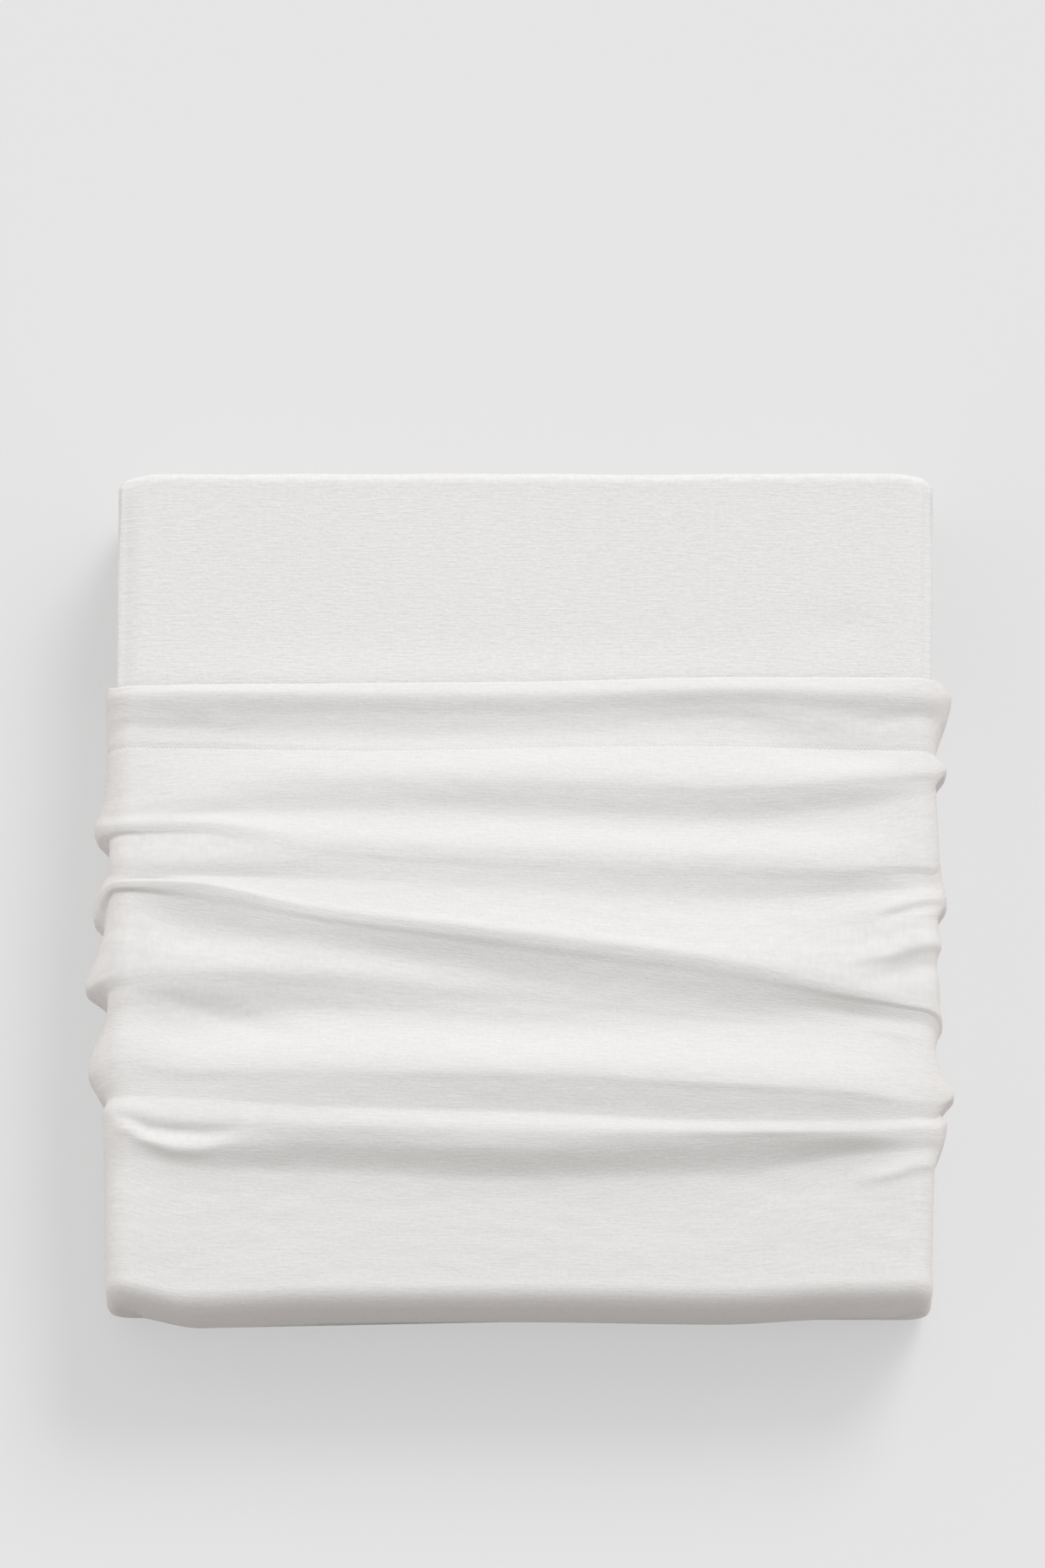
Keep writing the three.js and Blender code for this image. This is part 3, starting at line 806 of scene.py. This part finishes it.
@dataclass
class FoldedPacket:
    """The duvet cover, folded back and forth in thick layers of several plies.

    Attributes, in millimetres or as counts:
        layers, thickness, plies: the layers, and the plies that show at a layer's edge.
        turn_steps, turn_squareness: the turns between layers, and how square they are.
        fine_step, coarse_step, hidden_from: the rows behind the hem, and those under the case.
        column_width, edge_columns, edge_stretch, edge_steps: the columns, closer at the edges.
        edge_sag: how far the top layer's left and right edges hang down.
        corner_rounding, middle, straight: the rounded corners seen from above.
        edge_rounding, ply_rounding: the rounding of an edge, and of each ply in it.
        shortfall: how far each turn stays inside the packet.
        free_top, free_bottom: the same for the two free ends.
        edge_insets: the same for each layer's left and right edges.
        sink_start, sink_end: where the packet sinks to the surface behind the case.
        dent, hem_lift: a dent behind the hem, and where the hem's edge lifts the cloth.
    """

    layers: int = 8
    thickness: float = 7.5
    plies: int = 3
    turn_steps: int = 14
    turn_squareness: float = 6.0
    fine_step: float = 6.0
    coarse_step: float = 34.0
    hidden_from: float = 90.0
    column_width: float = 6.5
    edge_columns: int = 6
    edge_stretch: float = 0.07
    edge_sag: tuple = (3.4, 2.2)
    corner_rounding: float = 8.0
    middle: float = (PACKET_FRONT + PACKET_BACK) / 2.0
    straight: float = (PACKET_BACK - PACKET_FRONT) / 2.0 - corner_rounding
    edge_steps: int = 6
    edge_rounding: float = 3.6
    ply_rounding: float = 0.75
    shortfall: tuple = (-1.2, 1.2, 1.8, 0.6, 0.6, 1.4, 2.2)
    free_top: float = 5.6
    free_bottom: float = 4.6
    edge_insets: tuple = (
        (-0.8, -0.6), (0.4, 0.6), (1.2, 0.3), (0.3, 1.0), (0.8, 0.4), (0.4, 1.3), (1.2, 0.8),
        (2.8, 2.8),
    )
    sink_start: float = 106.0
    sink_end: float = 132.0
    dent: Crease = Crease("dent", ((132, 132), (152, 129), (176, 131)), -0.8, 7, 6)
    hem_lift: Crease = Crease("hem_lift", ((-205, 101), (0, 101), (205, 103)), 1.8, 12, 6)

    def line(self) -> np.ndarray:
        """Draws the middle line of the layers.

        Returns:
            Columns of y, z, outward y, outward z, layer and path length.
        """
        half = self.thickness / 2.0
        pitch = (PACKET_TOP - self.thickness) / (self.layers - 1)
        reach = pitch / 2.0 + half
        rows = []
        start = PACKET_FRONT + self.free_top + half
        for layer in range(self.layers):
            forward = layer % 2 == 1
            z = PACKET_TOP - half - layer * pitch
            if layer == self.layers - 1:
                end = PACKET_FRONT + self.free_bottom + half
            elif forward:
                end = PACKET_FRONT + self.shortfall[layer] + reach
            else:
                end = PACKET_BACK - self.shortfall[layer] - reach
            sign = -1.0 if forward else 1.0
            for y in self.stops(start, end):
                rows.append((y, z, 0.0, sign, float(layer)))
            start = end
            if layer == self.layers - 1:
                break
            for step in range(1, self.turn_steps):
                angle = math.pi * step / self.turn_steps
                rows.append((
                    end + sign * pitch / 2.0 * math.sin(angle),
                    z - pitch / 2.0 * (1.0 - math.cos(angle)),
                    math.sin(angle), sign * math.cos(angle), layer + step / self.turn_steps,
                ))
        line = np.array(rows)
        run = np.concatenate([[0.0], np.cumsum(np.hypot(*np.diff(line[:, :2], axis=0).T))])
        return np.column_stack([line, run])

    def stops(self, start: float, end: float) -> list:
        """Spaces out the rows of a layer, close together where it shows.

        Args:
            start: where the layer starts along Y.
            end: where it ends.

        Returns:
            The rows' places.
        """
        low, high, edge = min(start, end), max(start, end), self.hidden_from
        hidden = np.linspace(low, edge, math.ceil((edge - low) / self.coarse_step) + 1)
        shown = np.linspace(edge, high, math.ceil((high - edge) / self.fine_step) + 1)[1:]
        places = [*hidden, *shown]
        return places if start < end else places[::-1]

    def inset(self, layer: np.ndarray, side: int) -> np.ndarray:
        """How far the layers stop short of the left (0) or right (1) side."""
        table = [row[side] for row in self.edge_insets]
        return np.interp(layer, np.arange(self.layers), table)

    def loop(self) -> np.ndarray:
        """One trip round the strip.

        Returns:
            Rows of the share of the width and the share of the thickness, each from -1 to 1.
        """
        level = 1.0 - self.edge_stretch
        count = math.ceil(2.0 * PACKET_HALF_WIDTH * level / self.column_width)
        middle = np.linspace(-level, level, count + 1)
        outer = np.linspace(level, 1.0, self.edge_columns + 1)[1:]
        across = np.concatenate([-outer[::-1], middle, outer])
        count = len(across) - 1
        edge = np.linspace(1.0, -1.0, 2 * self.edge_steps * self.plies + 1)[1:-1]
        top = np.column_stack([across, np.ones(count + 1)])
        right = np.column_stack([np.ones(len(edge)), edge])
        return np.concatenate([
            top, right, top[::-1] * (1.0, -1.0), right[::-1] * (-1.0, 1.0),
        ])

    def edge_profile(self, share: np.ndarray) -> np.ndarray:
        """How far the strip's edge draws in, ply by ply.

        Args:
            share: the share of the thickness, from -1 to 1.

        Returns:
            The distances, in millimetres.
        """
        whole = self.edge_rounding * (1.0 - np.sqrt(1.0 - 0.97 * share**2))
        ply = ((share + 1.0) / 2.0 * self.plies) % 1.0 * 2.0 - 1.0
        bead = self.ply_rounding * (1.0 - np.sqrt(np.clip(1.0 - 0.98 * ply**2, 0.0, 1.0)))
        return whole + bead

    def build(self) -> bpy.types.Object:
        """Makes the packet's mesh as one strip swept along its folded line.

        Returns:
            The packet.
        """
        line, loop = self.line(), self.loop()
        half = self.thickness / 2.0
        y, z, out_y, out_z, layer, run = (line[:, i:i + 1] for i in range(6))
        across, share = loop[:, 0][None, :], loop[:, 1][None, :]
        at_edge = np.abs(across) > 0.999
        outer = np.clip(1.0 - (1.0 - np.abs(across)) / self.edge_stretch, 0.0, 1.0)
        drawn = outer * self.edge_profile(share)
        lane = np.round((share + 1.0) * self.plies / 2.0)
        wander = unevenness(run + 0 * share, 40.0 * lane + 0 * run, 55.0, 17.0, 2.7)
        limit = np.where(across < 0.0, self.inset(layer, 0), self.inset(layer, 1))
        squared = half + self.turn_squareness * (out_y * out_z) ** 2 * np.maximum(share, 0.0)
        place_y = y + out_y * share * squared
        past = np.clip(np.abs(place_y - self.middle) - self.straight, 0.0, self.corner_rounding)
        corner = self.corner_rounding - np.sqrt(self.corner_rounding**2 - past**2)
        widest = PACKET_HALF_WIDTH - limit - corner
        x = across * widest - np.sign(across) * (drawn + 0.5 * outer * (1.0 + wander))
        place_z = z + out_z * share * squared
        bend = ease(0.0, 0.6, np.abs(out_y))
        place_y = place_y + bend * np.sign(place_y) * 0.7 * (
            unevenness(x + 0 * y, layer * 60.0 + 0 * x, 60.0, 20.0, 5.2) - 0.6)
        place_z = place_z + 0.4 * unevenness(x + 0 * y, place_y, 120.0, 70.0, 8.4) * (
            ease(0.0, 8.0, place_z))
        top = (share > 0.99) & (layer < 0.01)
        lift = self.dent.lift(x + 0 * y, place_y) + self.hem_lift.lift(x + 0 * y, place_y)
        place_z = place_z + np.where(top, lift, 0.0)
        sag = np.where(across < 0.0, *self.edge_sag) * outer**2
        place_z = place_z - sag * (layer < 0.5) * (1.0 + share) / 2.0
        base = SNUG * (1.0 - ease(self.sink_start, self.sink_end, place_y))
        place_z = base + np.maximum(place_z, 0.0) * (PACKET_TOP - base) / PACKET_TOP
        points = np.stack(np.broadcast_arrays(x, place_y, place_z), -1).reshape(-1, 3)
        flat = np.stack(np.broadcast_arrays(x + share * half * at_edge, run), -1).reshape(-1, 2)
        count = loop.shape[0]
        sheet = SheetMesh()
        sheet.add(points, flat)
        for i in range(len(line) - 1):
            near, far = i * count, (i + 1) * count
            for j in range(count):
                k = (j + 1) % count
                sheet.faces.append((near + j, near + k, far + k, far + j))
        sheet.faces.append(tuple(range(count))[::-1])
        sheet.faces.append(tuple((len(line) - 1) * count + j for j in range(count)))
        return sheet.make("folded_packet")


# Materials

# Waves for each metre of the cloth's width and length, and the share of each in the relief
WEFT_SLUBS = (110.0, 1100.0)
WARP_SLUBS = (1100.0, 160.0)
MOTTLE = (430.0, 560.0)
WEFT_SHARE = 1.0
WARP_SHARE = 0.3
MOTTLE_SHARE = 0.9
WEAVE_SHARE = 0.12

# A row of stitches: half the thread's width, how far it pulls the cloth down, and how strongly
THREAD_EDGE = 0.75 * MM
THREAD_CORE = 0.30 * MM
PULLED_WIDTH = 1.8 * MM
STITCH_RAISED = 1.1
STITCH_SUNK = 0.4


class NodeBoard:
    """Places shader nodes in a tree and joins them."""

    def __init__(self, tree: bpy.types.NodeTree) -> None:
        """Keeps the tree that the nodes go in."""
        self.tree = tree

    def add(self, kind: str, **settings: object) -> bpy.types.Node:
        """Adds a node.

        Args:
            kind: the node's type.
            settings: its properties.

        Returns:
            The node.
        """
        node = self.tree.nodes.new(kind)
        for key, value in settings.items():
            setattr(node, key, value)
        return node

    def join(self, source: object, target: object) -> None:
        """Feeds an input socket.

        Args:
            source: the output socket to link, or a plain value.
            target: the input socket.
        """
        if isinstance(source, bpy.types.NodeSocket):
            self.tree.links.new(source, target)
        else:
            target.default_value = source

    def math(self, operation: str, *values: object) -> bpy.types.NodeSocket:
        """Adds a Math node.

        Args:
            operation: what it works out.
            values: sockets or numbers.

        Returns:
            Its result.
        """
        node = self.add("ShaderNodeMath", operation=operation)
        for value, socket in zip(values, node.inputs):
            self.join(value, socket)
        return node.outputs[0]

    def ramp(self, value: object, start: float, end: float) -> bpy.types.NodeSocket:
        """Rises smoothly from 0 to 1 between two values.

        Args:
            value: the socket that is read.
            start: where the result is 0.
            end: where it is 1, which may be the lower one.

        Returns:
            The result.
        """
        node = self.add("ShaderNodeMapRange", interpolation_type="SMOOTHSTEP")
        self.join(value, node.inputs["Value"])
        node.inputs["From Min"].default_value = min(start, end)
        node.inputs["From Max"].default_value = max(start, end)
        node.inputs["To Min"].default_value = 0.0 if start < end else 1.0
        node.inputs["To Max"].default_value = 1.0 if start < end else 0.0
        return node.outputs["Result"]

    def streaks(self, vector: object, along: float, across: float) -> bpy.types.NodeSocket:
        """Noise drawn out along the cloth's width or length.

        Args:
            vector: the place on the cloth.
            along: the waves for each metre of its width.
            across: those for each metre of its length.

        Returns:
            The noise, from 0 to 1.
        """
        stretch = self.add("ShaderNodeVectorMath", operation="MULTIPLY")
        self.join(vector, stretch.inputs[0])
        stretch.inputs[1].default_value = (along, across, 1.0)
        field = self.add("ShaderNodeTexNoise")
        self.join(stretch.outputs[0], field.inputs["Vector"])
        field.inputs["Scale"].default_value = 1.0
        field.inputs["Detail"].default_value = 2.0
        return field.outputs["Fac"]

    def blend(self, share: object, first: tuple, second: tuple) -> bpy.types.NodeSocket:
        """Mixes two colours.

        Args:
            share: how much of the second there is.
            first: one colour.
            second: the other.

        Returns:
            The mixed colour.
        """
        node = self.add("ShaderNodeMix", data_type="RGBA", blend_type="MIX")
        self.join(share, node.inputs["Factor"])
        node.inputs[6].default_value = (*first, 1.0)
        node.inputs[7].default_value = (*second, 1.0)
        return node.outputs[2]


class ClothGroup(NodeBoard):
    """A new node group that reads a place on the flat cloth, given as its input Cloth."""

    def __init__(self, name: str, numbers: dict, results: tuple) -> None:
        """Makes the group and its sockets.

        Args:
            name: the group's name.
            numbers: its inputs besides Cloth, with their usual values.
            results: the names of its outputs.
        """
        group = bpy.data.node_groups.new(name, "ShaderNodeTree")
        group.interface.new_socket("Cloth", in_out="INPUT", socket_type="NodeSocketVector")
        for title, value in numbers.items():
            socket = group.interface.new_socket(
                title, in_out="INPUT", socket_type="NodeSocketFloat"
            )
            socket.default_value = value
        for title in results:
            group.interface.new_socket(title, in_out="OUTPUT", socket_type="NodeSocketFloat")
        super().__init__(group)
        self.given = self.add("NodeGroupInput").outputs
        self.result = self.add("NodeGroupOutput").inputs
        parts = self.add("ShaderNodeSeparateXYZ")
        self.join(self.given["Cloth"], parts.inputs[0])
        self.across, self.along = parts.outputs["X"], parts.outputs["Y"]


def plain_weave_group() -> bpy.types.ShaderNodeTree:
    """The weave of the cloth as a node group, with its slubs.

    Returns:
        A group with the inputs Cloth, Thread and Slub, and the outputs Height and Shade.
    """
    board = ClothGroup("PlainWeave", {"Thread": 0.6 * MM, "Slub": 1.0}, ("Height", "Shade"))
    cloth = board.given["Cloth"]
    waves = []
    for place in (board.across, board.along):
        turns = board.math("DIVIDE", place, board.given["Thread"])
        waves.append(board.math("SINE", board.math("MULTIPLY", turns, math.pi)))
    weave = board.math("MULTIPLY", *waves)
    weft = board.math("MULTIPLY", board.streaks(cloth, *WEFT_SLUBS), WEFT_SHARE)
    warp = board.math("MULTIPLY", board.streaks(cloth, *WARP_SLUBS), WARP_SHARE)
    mottle = board.math("MULTIPLY", board.streaks(cloth, *MOTTLE), MOTTLE_SHARE)
    streaks = board.math("ADD", board.math("ADD", weft, warp), mottle)
    middle = (WEFT_SHARE + WARP_SHARE + MOTTLE_SHARE) / 2.0
    centred = board.math("MULTIPLY", board.math("SUBTRACT", streaks, middle), board.given["Slub"])
    height = board.math("ADD", board.math("MULTIPLY", weave, WEAVE_SHARE), centred)
    board.join(height, board.result["Height"])
    board.join(centred, board.result["Shade"])
    return board.tree


def hem_stitch_group() -> bpy.types.ShaderNodeTree:
    """The row of stitches along a hem as a node group.

    Returns:
        A group with the inputs Cloth, Away and Length, and the output Height.
    """
    board = ClothGroup("HemStitch", {"Away": 0.0, "Length": 2.6 * MM}, ("Height",))
    turns = board.math("DIVIDE", board.across, board.given["Length"])
    wave = board.math("SINE", board.math("MULTIPLY", turns, math.tau))
    dash = board.ramp(wave, -0.5, 0.2)
    away = board.math("ABSOLUTE", board.given["Away"])
    thread = board.ramp(away, THREAD_EDGE, THREAD_CORE)
    raised = board.math("MULTIPLY", board.math("MULTIPLY", dash, thread), STITCH_RAISED)
    sunk = board.math("MULTIPLY", board.ramp(away, PULLED_WIDTH, 0.0), STITCH_SUNK)
    board.join(board.math("SUBTRACT", raised, sunk), board.result["Height"])
    return board.tree


@dataclass(frozen=True)
class ClothFinish:
    """How one cloth looks.

    Attributes:
        name: the material's name.
        colour: its plain colour, linear.
        thread: from one thread to the next, in metres.
        slub: how uneven its threads are.
        relief: the depth of the weave, in metres.
        tone: how much its shade varies with the slubs.
        stitch: the length of a stitch along its hem, in metres, or 0 where it has none.
    """

    name: str
    colour: tuple
    thread: float = 0.62 * MM
    slub: float = 1.0
    relief: float = 0.19 * MM
    tone: float = 0.08
    stitch: float = 0.0

    def material(self, weave: bpy.types.ShaderNodeTree) -> bpy.types.Material:
        """Makes the material on the piece's own flat-cloth map.

        Args:
            weave: the shared weave group.

        Returns:
            The material.
        """
        made = bpy.data.materials.new(self.name)
        made.use_nodes = True
        board = NodeBoard(made.node_tree)
        shader = made.node_tree.nodes["Principled BSDF"]
        shader.inputs["Roughness"].default_value = 0.9
        shader.inputs["Specular IOR Level"].default_value = 0.2
        shader.inputs["Sheen Weight"].default_value = 0.12
        shader.inputs["Sheen Roughness"].default_value = 0.5
        cloth = board.add("ShaderNodeUVMap", uv_map="cloth")
        pattern = board.add("ShaderNodeGroup", node_tree=weave)
        board.join(cloth.outputs["UV"], pattern.inputs["Cloth"])
        pattern.inputs["Thread"].default_value = self.thread
        pattern.inputs["Slub"].default_value = self.slub
        darker = tuple(c * (1.0 - self.tone) for c in self.colour)
        paler = tuple(min(1.0, c * (1.0 + self.tone * 0.6)) for c in self.colour)
        share = board.math("ADD", pattern.outputs["Shade"], 0.5)
        board.join(board.blend(share, darker, paler), shader.inputs["Base Color"])
        bump = board.add("ShaderNodeBump")
        bump.inputs["Distance"].default_value = self.relief
        bump.inputs["Strength"].default_value = 0.8
        height = pattern.outputs["Height"]
        if self.stitch > 0.0:
            seam = board.add("ShaderNodeGroup", node_tree=hem_stitch_group())
            board.join(cloth.outputs["UV"], seam.inputs["Cloth"])
            line = board.add("ShaderNodeAttribute", attribute_name=STITCH_LINE)
            board.join(line.outputs["Fac"], seam.inputs["Away"])
            seam.inputs["Length"].default_value = self.stitch
            height = board.math("ADD", height, seam.outputs["Height"])
        board.join(height, bump.inputs["Height"])
        board.join(bump.outputs["Normal"], shader.inputs["Normal"])
        return made


# The case is the same cloth as the cover; the case's colour is a little darker and warmer than the
# cover's, which is painted shade
COVER_CLOTH = ClothFinish("cover_cloth", (0.808, 0.803, 0.790), relief=0.27 * MM, tone=0.10)
SHADED_CASE_CLOTH = ClothFinish("case_cloth", (0.790, 0.779, 0.767), stitch=2.2 * MM)


# Studio


@dataclass(frozen=True)
class Lamp:
    """One broad soft light.

    Attributes:
        name: its name.
        lit: what it shines on.
        share: its part of the light on a level surface.
        azimuth: where it stands, in degrees clockwise from the back, seen from above.
        elevation: its height above the floor, in degrees.
        spread: how broad it looks from the object, in degrees.
        colour: its tint.
    """

    name: str
    lit: Lit
    share: float
    azimuth: float
    elevation: float
    spread: float
    colour: tuple = (0.985, 1.0, 1.02)

    def hang(self, shone_on: bpy.types.Collection) -> None:
        """Adds the lamp.

        Args:
            shone_on: the one collection that it shines on.
        """
        data = bpy.data.lights.new(self.name, "SUN")
        a, e = math.radians(self.azimuth), math.radians(self.elevation)
        data.energy = self.share * math.pi / math.sin(e)
        data.angle = math.radians(self.spread)
        data.color = self.colour
        lamp = bpy.data.objects.new(self.name, data)
        towards = Vector((math.sin(a) * math.cos(e), math.cos(a) * math.cos(e), math.sin(e)))
        lamp.rotation_mode = "QUATERNION"
        lamp.rotation_quaternion = towards.to_track_quat("Z", "Y")
        lamp.location = towards * 3.0
        lamp.light_linking.receiver_collection = shone_on
        bpy.context.scene.collection.objects.link(lamp)


LAMPS = (
    Lamp("key_light", Lit.CLOTH, 0.25, 38.0, 42.0, 34.0),
    Lamp("second_light", Lit.CLOTH, 0.12, -25.0, 42.0, 40.0),
    Lamp("floor_key_light", Lit.FLOOR, 0.09, 46.0, 42.0, 34.0, (1.0, 1.0, 1.0)),
    Lamp("floor_back_light", Lit.FLOOR, 0.29, 29.0, 38.0, 26.0, (1.0, 1.0, 1.0)),
)


@dataclass
class Studio:
    """The pale floor, the soft light and the camera.

    Attributes:
        frame_width: what the picture takes in across, in metres.
        look_at: the point in the middle of the picture.
        elevation: how steeply the camera looks down, in degrees.
        distance: how far away it stands, in metres.
        floor_colour: the floor as the camera sees it.
        thrown_back: the floor's shade in the light that it throws on the cloth.
        floor_glow: how much of the floor is its own even glow.
        floor_radius: how far the floor reaches, in metres.
        room_share: the strength of the room's light.
        room_lean: how much stronger it is from behind.
        room_sides: how much stronger it is from both sides.
        room_left: how much stronger it is from the left.
        room_colour: its tint.
    """

    frame_width: float = 0.5134
    look_at: tuple = (0.0, 0.050, 0.066)
    elevation: float = 75.5
    distance: float = 12.0
    floor_colour: tuple = (0.781, 0.783, 0.786)
    thrown_back: tuple = (0.58, 0.54, 0.53)
    floor_glow: float = 0.56
    floor_radius: float = 60.0
    room_share: float = 0.62
    room_lean: float = 0.30
    room_sides: float = 1.2
    room_left: float = 0.15
    room_colour: tuple = (1.018, 1.0, 0.985)

    def floor(self) -> bpy.types.Object:
        """Makes the floor, whose own even glow keeps the shadows on it pale.

        Returns:
            The floor.
        """
        bpy.ops.object.select_all(action="DESELECT")
        bpy.ops.mesh.primitive_circle_add(
            vertices=64, radius=self.floor_radius, fill_type="NGON", location=(0.0, 0.0, 0.0)
        )
        floor = bpy.context.object
        floor.name = "studio_floor"
        paint = bpy.data.materials.new("studio_floor")
        paint.use_nodes = True
        board = NodeBoard(paint.node_tree)
        shader = paint.node_tree.nodes["Principled BSDF"]
        shader.inputs["Roughness"].default_value = 1.0
        shader.inputs["Specular IOR Level"].default_value = 0.0
        glow = board.add("ShaderNodeEmission")
        glow.inputs["Color"].default_value = (*self.floor_colour, 1.0)
        mixed = board.add("ShaderNodeMixShader")
        seen = board.add("ShaderNodeLightPath").outputs["Is Camera Ray"]
        shade = board.blend(seen, self.thrown_back, self.floor_colour)
        board.join(shade, shader.inputs["Base Color"])
        board.join(board.math("MULTIPLY", seen, self.floor_glow), mixed.inputs["Fac"])
        board.join(shader.outputs["BSDF"], mixed.inputs[1])
        board.join(glow.outputs["Emission"], mixed.inputs[2])
        output = paint.node_tree.nodes["Material Output"]
        board.join(mixed.outputs["Shader"], output.inputs["Surface"])
        paint.cycles.emission_sampling = "NONE"
        floor.data.materials.append(paint)
        return floor

    def lights(self, shone_on: dict) -> None:
        """Adds the lamps and the even light of the room.

        Args:
            shone_on: the objects that each kind of lamp shines on.
        """
        groups = {}
        for lit, things in shone_on.items():
            groups[lit] = bpy.data.collections.new(lit.value)
            for thing in things:
                groups[lit].objects.link(thing)
        for lamp in LAMPS:
            lamp.hang(groups[lamp.lit])
        world = bpy.data.worlds.new("room_light")
        world.use_nodes = True
        sky = world.node_tree.nodes["Background"]
        sky.inputs["Color"].default_value = (*self.room_colour, 1.0)
        board = NodeBoard(world.node_tree)
        parts = board.add("ShaderNodeSeparateXYZ")
        board.join(board.add("ShaderNodeTexCoord").outputs["Generated"], parts.inputs[0])
        lean = board.math("MULTIPLY", parts.outputs["Y"], self.room_lean)
        across = board.math("MULTIPLY", parts.outputs["X"], parts.outputs["X"])
        sides = board.math("MULTIPLY", board.math("SUBTRACT", across, 0.25), self.room_sides)
        left = board.math("MULTIPLY", parts.outputs["X"], -self.room_left)
        strength = board.math("ADD", board.math("ADD", lean, sides), board.math("ADD", left, 1.0))
        board.join(board.math("MULTIPLY", strength, self.room_share), sky.inputs["Strength"])
        bpy.context.scene.world = world

    def camera(self) -> None:
        """Sets the camera as the photograph has it: from the front, steeply down, far off."""
        data = bpy.data.cameras.new("camera")
        data.sensor_fit = "AUTO"
        data.sensor_width = 36.0
        frame_height = self.frame_width * PHOTO_HEIGHT / PHOTO_WIDTH
        data.lens = data.sensor_width * self.distance / frame_height
        data.clip_end = 200.0
        camera = bpy.data.objects.new("camera", data)
        e = math.radians(self.elevation)
        back = Vector((0.0, -math.cos(e), math.sin(e)))
        camera.location = Vector(self.look_at) + back * self.distance
        camera.rotation_mode = "QUATERNION"
        camera.rotation_quaternion = (-back).to_track_quat("-Z", "Y")
        bpy.context.scene.collection.objects.link(camera)
        bpy.context.scene.camera = camera

    def set_up(self, pieces: list) -> None:
        """Builds the whole studio.

        Args:
            pieces: what stands in it.
        """
        floor = self.floor()
        self.lights({Lit.CLOTH: pieces, Lit.FLOOR: [floor]})
        self.camera()
        look = bpy.context.scene.view_settings
        look.view_transform = "Standard"
        look.look = "None"
        look.exposure = 0.0
        look.gamma = 1.0


# Main


def declare(piece: bpy.types.Object, node: str, finish: bpy.types.Material) -> None:
    """Gives a piece its finish, hides the solid that it stands for and sets what it rides on.

    Args:
        piece: the piece.
        node: the solid that it stands for.
        finish: its material.
    """
    piece.data.materials.append(finish)
    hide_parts(node)
    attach(piece, BODY)
    LOG.info("%s: %d faces", piece.name, len(piece.data.polygons))


def main() -> None:
    """Builds the dressed object around the frame."""
    logging.basicConfig(level=logging.INFO, format="%(message)s")
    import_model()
    weave = plain_weave_group()
    packet = FoldedPacket().build()
    declare(packet, "folded_cover", COVER_CLOTH.material(weave))
    case = OuterCase().build()
    declare(case, "outer_case", SHADED_CASE_CLOTH.material(weave))
    Studio().set_up([packet, case])


if __name__ == "__main__":
    main()
